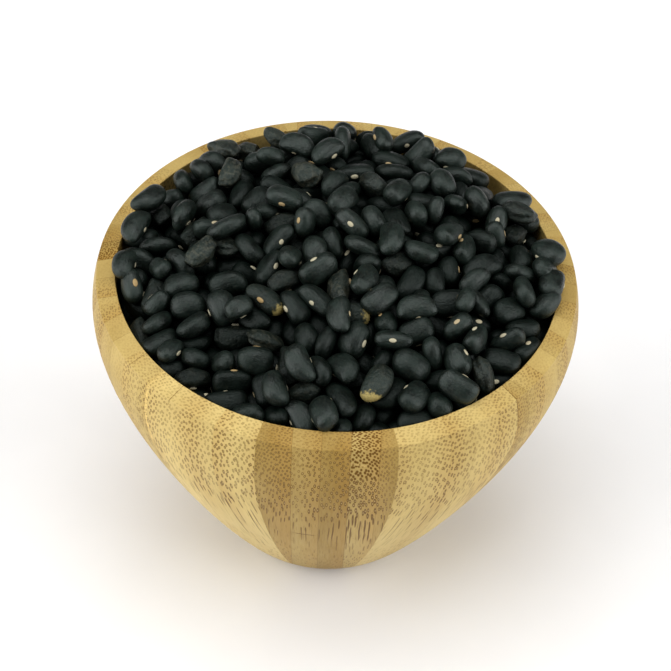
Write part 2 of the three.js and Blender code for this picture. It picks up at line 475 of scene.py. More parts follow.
    def scar(self, sheet: NodeSheet, place: Socket, scar: Scar) -> Socket:
        """Mask of one mark on the surface.

        Args:
            sheet: The material's nodes.
            place: Position in millimetres.
            scar: The mark.

        Returns:
            The mask, 0 beside the mark.
        """
        near = sheet.turned(place, "Z", -math.radians(scar.azimuth))
        near = sheet.vector("SUBTRACT", near, (0.0, 0.0, scar.height))
        near = sheet.turned(near, "Y", math.radians(scar.tilt))
        x, y, z = sheet.parts(near)
        along = sheet.math("DIVIDE", sheet.math("ABSOLUTE", x), scar.length)
        beside = sheet.math("DIVIDE", sheet.math("ABSOLUTE", z), scar.width)
        shape = sheet.fade(sheet.math("MAXIMUM", along, beside), 0.6, 1.1, 1.0, 0.0)
        ragged = sheet.fade(sheet.noise(place, 2.4, 2.0), 0.38, 0.55, 0.25, 0.9)
        outside = sheet.math("LESS_THAN", y, 0.0)
        return sheet.times(sheet.times(shape, outside), ragged)


@dataclass(frozen=True)
class TurnedBowl:
    """The bowl: a barrel-shaped upper wall, a straight cone below and a narrow rounded foot.

    Attributes:
        rim_radius: Outer edge of the rim's top. All sizes are in millimetres.
        rim_height: Height of that edge over the foot.
        rim_width: Width of the rim's top.
        rim_slope: How far the rim's inner edge stands above its outer edge.
        rim_round: Softening of the rim's edges.
        lip_drop: The wall begins to lean in this far below the rim.
        belly_radius: Widest place.
        belly_height: Height of the widest place.
        belly_pull: How far the wall stays steep below it.
        heel_angle: Slant of the wall where the rounding of the foot begins, in degrees.
        heel_pull: How far that slant reaches up.
        heel_radius: Rounding between wall and foot.
        foot_radius: Flat disc that the bowl stands on.
        wall: Thickness of the wall and the floor.
        steps: Steps of the turning.
        strip: Width of a glued strip.
        beside: How far beside a joint the faces are looked at for its cut, as an angle.
    """

    rim_radius: float = 60.0
    rim_height: float = 88.0
    rim_width: float = 4.9
    rim_slope: float = 1.2
    rim_round: float = 0.3
    lip_drop: float = 4.5
    belly_radius: float = 61.28
    belly_height: float = 79.0
    belly_pull: float = 20.5
    heel_angle: float = 41.0
    heel_pull: float = 8.0
    heel_radius: float = 12.0
    foot_radius: float = 20.0
    wall: float = 6.0
    steps: int = 144
    strip: float = 6.75
    beside: float = math.radians(8)

    def face(self, inset: float, wall_points: int = 26, heel_points: int = 8) -> list[Vector]:
        """Points of one face of the wall, from the axis over the heel up to the belly.

        Args:
            inset: How far the face lies inside the bowl's outer face.
            wall_points: Points of the wall above the heel.
            heel_points: Points of the heel's rounding.

        Returns:
            The points in millimetres.
        """
        slant = math.radians(self.heel_angle)
        bend = self.heel_radius - inset
        points = [Vector((0, 0, inset)), Vector((self.foot_radius * 0.5, 0, inset))]
        for step in range(heel_points + 1):
            angle = -math.pi / 2 + (math.pi / 2 - slant) * step / heel_points
            out = self.foot_radius + bend * math.cos(angle)
            points.append(Vector((out, 0, self.heel_radius + bend * math.sin(angle))))
        heel = points[-1]
        belly = Vector((self.belly_radius - inset, 0, self.belly_height))
        up = Vector((math.sin(slant), 0, math.cos(slant))) * self.heel_pull
        down = Vector((0, 0, -self.belly_pull))
        return points + interpolate_bezier(heel, heel + up, belly + down, belly, wall_points)[1:]

    def rim(self) -> list[Vector]:
        """Points over the rim, from the belly's outside to its inside."""
        inner = Vector((self.rim_radius - self.rim_width, 0, self.rim_height + self.rim_slope))
        outer = Vector((self.rim_radius, 0, self.rim_height))
        across = (outer - inner).normalized() * self.rim_round
        down = Vector((0, 0, -self.rim_round))
        belly = Vector((self.belly_radius, 0, self.belly_height))
        lip = Vector((self.belly_radius, 0, self.rim_height - self.lip_drop))
        return [
            *arc_between(belly, lip, outer + down, 16)[1:],
            *arc_between(outer + down, outer, outer - across, 5)[1:],
            outer - across * 1.6,
            inner + across * 1.6,
            *arc_between(inner + across, inner, inner + down, 5),
            inner + down * 1.6,
        ]

    def build(self) -> bpy.types.Object:
        """Turns the bowl, cuts it along its glue lines and dresses it."""
        profile = [*self.face(0.0), *self.rim(), *reversed(self.face(self.wall, 14, 4))]
        front = math.radians(-90 + STAVES[0].left)
        form = spin_profile([point * MM for point in profile], self.steps, front)
        self.cut_strips(form)
        self.mark_strips(form)
        bowl = new_piece("bamboo_bowl", form)
        bowl.data.materials.append(BambooFinish().material())
        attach(bowl, "root")
        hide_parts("bowl")
        return bowl

    def cut_strips(self, form: bmesh.types.BMesh) -> None:
        """Cuts the surface along the joints of the staves and the glue lines of the strips."""
        for stave, middle, half in staves_round():
            joint = math.radians(stave.left)
            near = [f for f in form.faces if abs(turn_apart(azimuth(f), joint)) < self.beside]
            cut_faces(form, near, Vector((0, 0, 0)), Vector((math.cos(joint), math.sin(joint), 0)))
            across = Vector((math.cos(middle), math.sin(middle), 0))
            for line in self.lines(stave, half)[1:-1]:
                own = [f for f in form.faces if abs(turn_apart(azimuth(f), middle)) < half]
                cut_faces(form, own, across * line * MM, across)

    def lines(self, stave: Stave, half: float) -> list[float]:
        """Places of a stave's glue lines across it, with its two ends."""
        reach = self.belly_radius * math.sin(half) + 1.0
        inner = [stave.first + self.strip * k for k in range(len(stave.tones) - 1)]
        return [-reach, *inner, reach]

    def mark_strips(self, form: bmesh.types.BMesh) -> None:
        """Writes each face's strip into the attributes strip_frame and strip_look."""
        place = form.faces.layers.float_vector.new("strip_frame")
        look = form.faces.layers.float_vector.new("strip_look")
        wedges = [(stave, middle, half, self.lines(stave, half)) for stave, middle, half in staves_round()]
        for face in form.faces:
            here = azimuth(face)
            stave, middle, _, lines = min(wedges, key=lambda w: abs(turn_apart(here, w[1])) / w[2])
            centre = face.calc_center_median() / MM
            across = centre.x * math.cos(middle) + centre.y * math.sin(middle)
            index = sum(across > line for line in lines[1:-1])
            left = lines[index]
            face[place] = (middle, left, lines[index + 1] - left)
            side = {"r": 1.0, "l": -1.0, "R": 2.0, "L": -2.0}[stave.sides[index]]
            face[look] = (stave.tones[index], stave.dots[index], side)


def arc_between(start: Vector, corner: Vector, end: Vector, points: int) -> list[Vector]:
    """A soft bend that rounds off a corner.

    Args:
        start: Its first point.
        corner: The corner.
        end: Its last point.
        points: Number of its points.

    Returns:
        The points.
    """
    first = start.lerp(corner, 2 / 3)
    second = end.lerp(corner, 2 / 3)
    return interpolate_bezier(start, first, second, end, points)


def azimuth(face: bmesh.types.BMFace) -> float:
    """Angle of a face round the bowl, 0 in front and rising to the right."""
    centre = face.calc_center_median()
    return math.atan2(centre.x, -centre.y)


def turn_apart(a: float, b: float) -> float:
    """The angle from b to a, between minus and plus half a turn."""
    return (a - b + math.pi) % (2 * math.pi) - math.pi


def staves_round() -> Iterator[tuple[Stave, float, float]]:
    """Each stave with the azimuth of its middle and half its angle."""
    for stave, following in zip(STAVES, (*STAVES[1:], STAVES[0])):
        span = (following.left - stave.left) % 360
        yield stave, math.radians(stave.left + span / 2), math.radians(span / 2)


def cut_faces(form: bmesh.types.BMesh, faces: list, point: Vector, normal: Vector) -> None:
    """Cuts some faces of a form along a plane.

    Args:
        form: The form, which is changed.
        faces: The faces.
        point: A point of the plane.
        normal: Its normal.
    """
    edges = dict.fromkeys(edge for face in faces for edge in face.edges)
    corners = dict.fromkeys(corner for face in faces for corner in face.verts)
    bmesh.ops.bisect_plane(
        form,
        geom=[*faces, *edges, *corners],
        dist=0.002 * MM,
        plane_co=point,
        plane_no=normal,
    )


# ---- The beans --------------------------------------------------------------------------------


@dataclass(frozen=True)
class BeanShape:
    """The form of one kind of bean, lying along X with its eye towards -Y. Millimetres.

    Attributes:
        length: Along X.
        width: Along Y, from eye to back.
        thickness: Along Z.
        bend: How far the ends turn towards the eye.
        blunt: 1 for round ends, less for squarer ones.
        dent: Depth of the shallow dip round the eye.
        taper: How much thicker the +X end is than the other.
        wrinkle: Height of the lumps and folds of the coat.
        cuts: Cuts of the cage along each side.
    """

    length: float = 9.8
    width: float = 6.4
    thickness: float = 5.2
    bend: float = 0.7
    blunt: float = 0.9
    dent: float = 0.12
    taper: float = 0.03
    wrinkle: float = 0.08
    cuts: int = 2

    def cage(self, seed: int) -> bpy.types.Mesh:
        """The control cage, sized so that the smoothed bean has the stated size.

        Args:
            seed: Picks the wrinkles.

        Returns:
            The cage in metres.
        """
        form = bmesh.new()
        bmesh.ops.create_cube(form, size=2)
        bmesh.ops.subdivide_edges(form, edges=form.edges, cuts=self.cuts, use_grid_fill=True)
        folds = Vector((seed * 3.7, seed * 1.3, 0))
        for corner in form.verts:
            corner.co.normalize()
            x, y, z = corner.co
            x = math.copysign(abs(x) ** self.blunt, x)
            swell = 1 + self.wrinkle * field_noise.fractal(corner.co * 1.7 + folds, 1.0, 2.0, 3)
            girth = swell * (1 + self.taper * x)
            centre = math.exp(-((x / 0.35) ** 2)) * max(-y, 0.0) ** 2
            corner.co = Vector(
                (
                    x * swell * self.length / 2,
                    y * girth * self.width / 2 - self.bend * (x * x - 0.35) + self.dent * centre,
                    z * girth * self.thickness / 2 * (1 - 0.08 * x * x),
                )
            )
        size = smooth_size(form)
        goals = (self.length, self.width + 0.35 * self.bend, self.thickness)
        ratio = [goal / got for goal, got in zip(goals, size)]
        bmesh.ops.scale(form, vec=Vector(ratio) * MM, verts=form.verts)
        cage = bpy.data.meshes.new("bean_cage")
        form.to_mesh(cage)
        form.free()
        return cage


class BeanKind(Enum):
    """The kinds of bean, each with its piece's name and its share of the heap.

    The spoiled ones are picked one by one from the settled heap.
    """

    PLUMP = ("beans_plump", 0.17)
    SLIM = ("beans_slim", 0.22)
    BLUNT = ("beans_blunt", 0.2)
    TAPERED = ("beans_tapered", 0.18)
    SMALL = ("beans_small", 0.13)
    WRINKLED = ("beans_wrinkled", 0.1)
    SPOILED = ("beans_spoiled", 0.0)

    @property
    def piece(self) -> str:
        """Name of the piece that holds these beans."""
        return self.value[0]

    @property
    def share(self) -> float:
        """Share of the heap."""
        return self.value[1]


SHAPES = {
    BeanKind.PLUMP: BeanShape(length=9.1, width=6.8, thickness=5.8, bend=0.5),
    BeanKind.SLIM: BeanShape(length=10.7, width=5.9, thickness=4.7, bend=1.4),
    BeanKind.BLUNT: BeanShape(length=9.9, width=6.5, thickness=5.1, bend=0.6, blunt=0.72),
    BeanKind.TAPERED: BeanShape(length=10.1, width=6.2, thickness=5.1, bend=0.8, taper=0.18),
    BeanKind.SMALL: BeanShape(length=7.9, width=5.3, thickness=4.5, bend=0.5, taper=-0.08),
    BeanKind.WRINKLED: BeanShape(wrinkle=0.22, cuts=5),
    BeanKind.SPOILED: BeanShape(length=10.2, width=6.6, thickness=5.5, bend=0.6, wrinkle=0.07, cuts=5),
}


@dataclass(frozen=True)
class Perch:
    """The place of a bean that hangs over the rim's inner edge.

    Attributes:
        spot: Place of its middle in millimetres.
        heading: Degrees from the +X axis to its length.
        kind: Its kind.
    """

    spot: tuple[float, float, float]
    heading: float
    kind: BeanKind


PERCHES = (
    Perch((-52.4, -6.3, 92.3), 88.0, BeanKind.TAPERED),
    Perch((-50.9, 5.9, 94.0), 72.0, BeanKind.SLIM),
    Perch((-48.6, 16.6, 94.2), 55.0, BeanKind.SLIM),
    Perch((52.9, -6.2, 92.6), 79.0, BeanKind.BLUNT),
    Perch((52.6, 4.6, 93.2), -54.0, BeanKind.PLUMP),
    Perch((45.4, 16.9, 95.4), -27.0, BeanKind.WRINKLED),
)

# The way from the heap to the viewer.
FACING = Vector((0.0, -0.73, 0.68))

# Places in millimetres where the topmost bean is a shrivelled or a spoiled one.
SPOTS = (
    ((-18.6, -19.5), BeanKind.SPOILED),
    ((4.9, -21.3), BeanKind.SPOILED),
    ((10.4, -43.6), BeanKind.SPOILED),
    ((-5.7, 25.3), BeanKind.WRINKLED),
    ((-28.7, 25.9), BeanKind.WRINKLED),
    ((-35.5, -6.8), BeanKind.WRINKLED),
    ((-13.7, -26.7), BeanKind.WRINKLED),
)


def smooth_size(form: bmesh.types.BMesh) -> Vector:
    """Size of a cage once it is subdivided smoothly."""
    probe = bpy.data.meshes.new("probe")
    form.to_mesh(probe)
    holder = bpy.data.objects.new("probe", probe)
    bpy.context.scene.collection.objects.link(holder)
    holder.modifiers.new("smooth", "SUBSURF").levels = 2
    bpy.context.view_layer.update()
    size = holder.evaluated_get(bpy.context.evaluated_depsgraph_get()).dimensions.copy()
    bpy.data.objects.remove(holder)
    bpy.data.meshes.remove(probe)
    return size


@dataclass(frozen=True)
class CoatFinish:
    """The black seed coat: satin, with a cool bloom, faint mottling and fine creases. The coats and gloss of
    beans deep in the heap are darkened as painted shade.

    Attributes:
        black: The coat itself.
        bloom: The thin bloom on it.
        dust: Dry patches on the shrivelled ones.
        tan: The bare ends of the spoiled ones.
        sheen: Tint of its gloss.
        rough: Usual roughness.
        relief: Depth of the creases.
        painted_shade_depths: Depths in the heap, in millimetres, between which shade is painted into the
            coats and their gloss, darkening them to deepen the gaps between the beans.
    """

    black: Colour = (0.0004, 0.0016, 0.001)
    bloom: Colour = (0.0055, 0.0115, 0.0085)
    dust: Colour = (0.062, 0.06, 0.04)
    tan: Colour = (0.36, 0.28, 0.09)
    sheen: Colour = (0.88, 1.0, 0.95)
    rough: float = 0.39
    relief: float = 0.19 * MM
    painted_shade_depths: tuple[float, float] = (1.5, 7.0)

    def material(self, kind: BeanKind) -> bpy.types.Material:
        """Builds the coat of one kind of bean, which reads bean_place, bean_pick and bean_depth, the last for
        its painted shade.

        Args:
            kind: The kind.

        Returns:
            The material.
        """
        sheet = NodeSheet(f"coat_{kind.name.lower()}")
        place = sheet.attribute("bean_place").outputs["Vector"]
        pick = sheet.attribute("bean_pick").outputs["Fac"]
        far = sheet.vector("SCALE", sheet.joined(1.0, 0.7, 0.4), scale=sheet.times(pick, 90.0))
        own = sheet.vector("ADD", place, far)
        cloud = sheet.noise(own, 0.35, 3.0, 0.55)
        fleck = sheet.noise(own, 2.2, 3.0, 0.65)
        amount = sheet.plus(sheet.fade(cloud, 0.35, 0.65, 0.0, 0.8), sheet.times(pick, 0.3))
        colour = sheet.blend(amount, self.black, self.bloom)
        colour = sheet.blend(sheet.fade(fleck, 0.48, 0.72, 0.0, 0.22), colour, self.dust)
        height = sheet.noise(sheet.stretch(own, (0.7, 1.6, 1.6)), 1.1, 4.0, 0.6)
        rough = sheet.fade(cloud, 0.3, 0.7, self.rough - 0.06, self.rough + 0.1)
        if kind in (BeanKind.WRINKLED, BeanKind.SPOILED):
            patch = sheet.noise(own, 0.9, 4.0, 0.7)
            most = 0.2 if kind is BeanKind.SPOILED else 0.6
            dry = sheet.times(sheet.fade(patch, 0.42, 0.66), sheet.fade(pick, 0.0, 1.0, 0.15, most))
            colour = sheet.blend(dry, colour, self.dust)
            height = sheet.plus(height, sheet.times(patch, 2.0))
        if kind is BeanKind.SPOILED:
            along = sheet.parts(place)[0]
            ragged = sheet.plus(along, sheet.times(sheet.noise(own, 0.7, 3.0, 0.6), 3.4))
            bare = sheet.fade(ragged, 5.35, 6.0)
            shade = sheet.blend(sheet.fade(fleck, 0.55, 0.72, 0.0, 0.75), self.tan, self.dust)
            colour = sheet.blend(bare, colour, shade)
            rough = sheet.plus(rough, sheet.times(bare, 0.25))
        # Painted shade: the deeper a bean lies under the heap's surface, the darker its coat and its gloss
        # tint, to deepen the gaps between the beans.
        deep = sheet.fade(sheet.attribute("bean_depth").outputs["Fac"], *self.painted_shade_depths)
        colour = sheet.blend(sheet.times(deep, 0.9), colour, self.black)
        gloss = sheet.blend(sheet.times(deep, 0.75), self.sheen, self.black)
        sheet.finish(colour, rough, height, self.relief, Specular_IOR_Level=0.4, Specular_Tint=gloss)
        return sheet.material


@dataclass(frozen=True)
class EyeFinish:
    """The eye's dry cream scar with its dark edge, browner on some beans.

    Attributes:
        cream: The scar.
        brown: Tint of the browner ones.
        edge: The edge.
    """

    cream: Colour = (0.47, 0.44, 0.31)
    brown: Colour = (0.34, 0.22, 0.08)
    edge: Colour = (0.012, 0.013, 0.009)

    def material(self, size: tuple[float, float, float]) -> bpy.types.Material:
        """Builds the material, which reads bean_place and bean_pick.

        Args:
            size: The eye's size in millimetres.

        Returns:
            The material.
        """
        sheet = NodeSheet("bean_eye")
        place = sheet.attribute("bean_place").outputs["Vector"]
        pick = sheet.attribute("bean_pick").outputs["Fac"]
        grain = sheet.noise(place, 3.0, 3.0, 0.6)
        aged = sheet.plus(sheet.fade(pick, 0.72, 1.0, 0.0, 0.8), sheet.times(grain, 0.2))
        colour = sheet.blend(aged, self.cream, self.brown)
        x, _, z = sheet.parts(sheet.stretch(place, (2 / size[0], 0.0, 2 / size[2])))
        out = sheet.plus(sheet.times(x, x), sheet.times(z, z))
        colour = sheet.blend(sheet.fade(out, 0.6, 0.95), colour, self.edge)
        sheet.finish(colour, 0.62, grain, 0.05 * MM, Specular_IOR_Level=0.3)
        return sheet.material


@dataclass(frozen=True)
class ShadeCoreFinish:
    """The dark core, which stands for the shaded beans deep in the heap: its near-black colour is painted
    shade.

    Attributes:
        colour: The lighter of its tones.
        hollow: The darker one.
    """

    colour: Colour = (0.003, 0.0035, 0.0035)
    hollow: Colour = (0.001, 0.001, 0.001)

    def material(self) -> bpy.types.Material:
        """Builds the material."""
        sheet = NodeSheet("painted_shade_core")
        place = sheet.add("ShaderNodeTexCoord").outputs["Object"]
        lumps = sheet.noise(place, 140.0)
        # Near-black tones: painted shade for the beans deep in the heap.
        colour = sheet.blend(sheet.fade(lumps, 0.1, 0.7), self.colour, self.hollow)
        sheet.finish(colour, 0.7, lumps, 0.6 * MM, Specular_IOR_Level=0.2)
        return sheet.material


@dataclass
class Bean:
    """One bean of the heap.

    Attributes:
        kind: Its kind.
        form: Its own stretch and skew.
        place: Its turn and place, in metres.
        pick: Its random number, from 0 to 1.
        depth: How far its top lies under the heap's surface, in millimetres, which sets the shade painted
            into its coat.
    """

    kind: BeanKind
    form: Matrix
    place: Matrix
    pick: float
    depth: float = 0.0

    def extent(self, direction: Vector) -> float:
        """How far it reaches from the origin in a direction, in millimetres."""
        shape = SHAPES[self.kind]
        halves = (shape.length / 2, shape.width / 2, shape.thickness / 2)
        axes = self.place.to_3x3().transposed()
        reach = math.hypot(*(axis.dot(direction) * half for axis, half in zip(axes, halves)))
        return self.place.translation.dot(direction) / MM + reach


@dataclass(frozen=True)
class BeanHeap:
    """The heap: loose beans settled on a dark core that fills the bowl.

    Attributes:
        bowl: The bowl that holds it.
        seed: Picks the beans and their places.
        crown: Height of the heap's top above the rim's outer edge. Sizes are in millimetres.
        edge_rise: The same at the heap's edge. Beans that end up higher are taken off.
        heap_radius: Distance of that edge from the middle.
        rest: How far out a bean may reach in front and at the back.
        perch: How much farther out it may reach at the sides, over the rim.
        perch_span: The stretch along Y that counts as the sides.
        hide: Share of the eyes that face the front and are turned away.
        elbow: Room round the middle of a perched bean.
        crest: Height of the core's middle above the rim's outer edge.
        fall: How far the core is lower at its edge.
        lift: Slope of the whole heap to the right and to the back.
        layers: Layers of beans that are sown before they settle.
        pitch: Height from one layer to the next.
        apart: Least distance between two beans of a layer.
        reach: How far out the beans are sown.
        spread: Usual deviation of a bean's size.
        gap: Gap between the core and the bowl.
        eye: Size of a bean's eye, along the bean, into it and across.
        skin: Beans farther than this under the heap's surface are taken off.
        tries: Tries to place a bean, in each layer.
        clearance: Height of the first layer over the core.
        tumble: Usual tilt of a sown bean, in radians.
        away: An eye faces the front if the cosine between its bean's back and FACING is below this.
        aim: How close a bean lies to one of the SPOTS to count as there.
    """

    bowl: TurnedBowl
    seed: int = 11
    crown: float = 17.2
    edge_rise: float = 7.0
    heap_radius: float = 51.5
    rest: float = 56.0
    perch: float = 2.6
    perch_span: tuple[float, float] = (-20.0, 8.0)
    hide: float = 0.35
    elbow: float = 5.4
    crest: float = 3.6
    fall: float = 13.0
    lift: tuple[float, float] = (0.025, 0.025)
    layers: int = 6
    pitch: float = 6.2
    apart: float = 8.0
    reach: float = 51.0
    spread: float = 0.05
    gap: float = 0.35
    eye: tuple[float, float, float] = (2.05, 0.45, 1.2)
    skin: float = 18.0
    tries: int = 3000
    clearance: float = 5.0
    tumble: float = 0.4
    away: float = -0.3
    aim: float = 4.5

    def slope(self, x: float, y: float) -> float:
        """How much higher the heap is at a place than a level one."""
        return self.lift[0] * x + self.lift[1] * y

    def core_height(self, x: float, y: float) -> float:
        """Height of the core's surface at a place on the heap."""
        bowl = self.bowl
        out = (x * x + y * y) / (bowl.rim_radius - bowl.rim_width) ** 2
        return bowl.rim_height + self.crest - self.fall * np.minimum(out, 1.0) + self.slope(x, y)

    def surface_height(self, x: float, y: float) -> float:
        """Height of the heap's surface at a place on it."""
        out = math.hypot(x, y) / self.heap_radius
        dome = self.edge_rise + (self.crown - self.edge_rise) * (1 - out**2)
        return self.bowl.rim_height + dome + self.slope(x, y)

    def in_place(self, bean: Bean) -> bool:
        """Whether a settled bean lies in the bowl, near the heap's surface and under it.

        Args:
            bean: The bean.

        Returns:
            True if it stays in the heap.
        """
        x, y, z = bean.place.translation / MM
        outward = Vector((x, y, 0)).normalized()
        rest = self.rest + (self.perch if self.perch_span[0] < y < self.perch_span[1] else 0.0)
        surface = self.surface_height(x, y)
        covered = surface - self.skin < z and bean.extent(UP) < surface
        return covered and bean.extent(outward) < rest

    def core(self) -> bpy.types.Object:
        """Builds the dark core, fitted to the inside of the bowl, a near-black body of painted shade in place
        of the beans deep in the heap.
        """
        bowl = self.bowl
        edge = bowl.rim_radius - bowl.rim_width - self.gap
        side = bowl.face(bowl.wall + self.gap, 14, 4)[:-1]
        rings = [Vector((edge * (1 - k / 9), 0, 0)) for k in range(10)]
        brim = self.core_height(edge, 0)
        profile = [*[p for p in side if p.z < brim - 3], *rings]
        form = spin_profile([p * MM for p in profile], 96)
        for corner in form.verts:
            if corner.co.z == 0:
                corner.co.z = self.core_height(corner.co.x / MM, corner.co.y / MM) * MM
        bmesh.ops.recalc_face_normals(form, faces=form.faces)
        core = new_piece("heap_core", form)
        core.data.materials.append(ShadeCoreFinish().material())
        return core

    def sow(self, draw: random.Random) -> list[Bean]:
        """Draws the beans and scatters them in loose layers above the core.

        Args:
            draw: Source of the random draws.

        Returns:
            The beans, not yet settled.
        """
        kinds = list(BeanKind)
        shares = [kind.share for kind in kinds]
        beans = []
        for layer in range(self.layers):
            spots: list[Vector] = []
            for _ in range(self.tries):
                radius = self.reach * math.sqrt(draw.random())
                angle = 2 * math.pi * draw.random()
                spot = Vector((radius * math.cos(angle), radius * math.sin(angle)))
                if all((spot - other).length > self.apart for other in spots):
                    spots.append(spot)
            for spot in spots:
                lift = self.core_height(*spot) + self.clearance + self.pitch * layer
                roll, tilt = 2 * math.pi * draw.random(), draw.gauss(0, self.tumble)
                turn = Euler((roll, tilt, 2 * math.pi * draw.random()))
                place = Matrix.Translation(Vector((*spot, lift)) * MM) @ turn.to_matrix().to_4x4()
                kind = draw.choices(kinds, shares)[0]
                beans.append(Bean(kind, self.own_form(draw), place, draw.random()))
        return beans

    def own_form(self, draw: random.Random) -> Matrix:
        """Draws a bean's own stretch and skew."""
        size = 1 + draw.gauss(0, self.spread)
        form = Matrix.Diagonal([size + draw.gauss(0, self.spread / 2) for _ in range(3)])
        for row, column in ((0, 1), (1, 2), (2, 0)):
            form[row][column] = draw.gauss(0, self.spread)
        return form.to_4x4()

    def build(self) -> list[bpy.types.Object]:
        """Sows and settles the beans, and joins each kind into one piece."""
        draw = random.Random(self.seed)
        cages = {kind: shape.cage(index) for index, (kind, shape) in enumerate(SHAPES.items())}
        core = self.core()
        beans = self.sow(draw)
        Settling(self).run(beans)
        beans = self.perched([bean for bean in beans if self.in_place(bean)], draw)
        LOG.info("%d beans lie in the heap", len(beans))
        self.mark_spots(beans)
        # Each bean's depth under the heap's surface sets how much shade is painted into its coat.
        for bean in beans:
            x, y, _ = bean.place.translation / MM
            bean.depth = self.surface_height(x, y) - bean.extent(UP)
        finish = CoatFinish()
        pieces = [core]
        for kind, cage in cages.items():
            piece = join_copies(kind.piece, cage, [bean for bean in beans if bean.kind is kind])
            piece.data.materials.append(finish.material(kind))
            smooth = piece.modifiers.new("smooth", "SUBSURF")
            smooth.levels = smooth.render_levels = 1 if SHAPES[kind].cuts > 2 else 2
            pieces.append(piece)
        eyes = self.eyes(beans)
        eyes.data.materials.append(EyeFinish().material(self.eye))
        pieces.append(eyes)
        for piece in pieces:
            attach(piece, "root")
            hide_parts("beans")
        return pieces

    def perched(self, beans: list[Bean], draw: random.Random) -> list[Bean]:
        """Lays a few beans over the rim's inner edge, in place of those that settled there.

        Args:
            beans: The settled beans.
            draw: Source of the random draws.

        Returns:
            The beans with the perched ones.
        """
        spots = [Vector(perch.spot) * MM for perch in PERCHES]
        kept = [b for b in beans if all((b.place.translation - s).length > self.elbow * MM for s in spots)]
        for perch, spot in zip(PERCHES, spots):
            turn = Matrix.Rotation(math.radians(perch.heading), 4, "Z")
            place = Matrix.Translation(spot) @ turn
            kept.append(Bean(perch.kind, self.own_form(draw), place, draw.random()))
        return kept

    def mark_spots(self, beans: list[Bean]) -> None:
        """Turns some eyes away and makes the beans at some places shrivelled or spoiled ones.

        Args:
            beans: The settled beans, which are changed.
        """
        for bean in beans:
            if bean.place.col[1].xyz.dot(FACING) < self.away and bean.pick < self.hide:
                bean.place = bean.place @ Matrix.Rotation(math.pi, 4, "X")
        for (x, y), kind in SPOTS:
            near = [b for b in beans if math.dist(b.place.translation.xy / MM, (x, y)) < self.aim]
            if not near:
                continue
            chosen = max(near, key=lambda bean: bean.place.translation.z)
            chosen.kind = kind
            chosen.pick = 1.0
            if chosen.place.col[0].xyz.dot(FACING) < 0:
                chosen.place = chosen.place @ Matrix.Rotation(math.pi, 4, "Z")

    def eyes(self, beans: list[Bean]) -> bpy.types.Object:
        """Builds the beans' eyes, small domed ovals on their inner bend."""
        form = bmesh.new()
        bmesh.ops.create_uvsphere(form, u_segments=10, v_segments=5, radius=0.5)
        bmesh.ops.scale(form, vec=Vector(self.eye) * MM, verts=form.verts)
        dome = bpy.data.meshes.new("eye")
        form.to_mesh(dome)
        form.free()
        placed = []
        for bean in beans:
            seat = Matrix.Translation((0, eye_seat(SHAPES[bean.kind]) * MM, 0))
            placed.append(Bean(bean.kind, Matrix(), bean.place @ bean.form @ seat, bean.pick, bean.depth))
        return join_copies("bean_eyes", dome, placed)


def eye_seat(shape: BeanShape) -> float:
    """Place of the eye's middle along Y on a bean's smoothed surface, in millimetres."""
    return -shape.width / 2 + 0.35 * shape.bend / 2 + shape.dent + 0.06


def join_copies(name: str, shape: bpy.types.Mesh, beans: list[Bean]) -> bpy.types.Object:
    """Joins copies of a shape into one piece that knows each copy's own coordinates.

    Args:
        name: The piece's name.
        shape: The shape that is copied, in metres.
        beans: The beans that take a copy each.

    Returns:
        The piece, with the attributes bean_place and bean_depth, in millimetres, and bean_pick.
    """
    corners = np.array([v.co for v in shape.vertices])
    faces = [tuple(p.vertices) for p in shape.polygons]
    bare = np.c_[corners, np.ones(len(corners))]
    spots = [bare @ np.array(bean.place @ bean.form).T for bean in beans]
    joined = bpy.data.meshes.new(name)
    joined.from_pydata(
        np.concatenate(spots)[:, :3].tolist(),
        [],
        [tuple(i + k * len(corners) for i in face) for k in range(len(beans)) for face in faces],
    )
    place = joined.attributes.new("bean_place", "FLOAT_VECTOR", "POINT")
    place.data.foreach_set("vector", np.tile(corners / MM, (len(beans), 1)).ravel())
    for label, values in (("bean_pick", [b.pick for b in beans]), ("bean_depth", [b.depth for b in beans])):
        layer = joined.attributes.new(label, "FLOAT", "POINT")
        layer.data.foreach_set("value", np.repeat(values, len(corners)))
    return new_piece(name, joined)


class Contacts:
    """Sums, for each bean, of the shoves and twists that its contacts give it.

    Attributes:
        shove: How far they push it.
        twist: How far they turn it, as a rotation vector.
        count: Their number.
    """

    def __init__(self, beans: int) -> None:
        """Starts with no contacts for that many beans."""
        self.shove = np.zeros((beans, 3))
        self.twist = np.zeros((beans, 3))
        self.count = np.zeros(beans)

    def add(self, owners: np.ndarray, shove: np.ndarray, twist: np.ndarray) -> None:
        """Adds one contact for each owner, in their order."""
        beans = len(self.count)
        for axis in range(3):
            self.shove[:, axis] += np.bincount(owners, shove[:, axis], beans)
            self.twist[:, axis] += np.bincount(owners, twist[:, axis], beans)
        self.count += np.bincount(owners, minlength=beans)


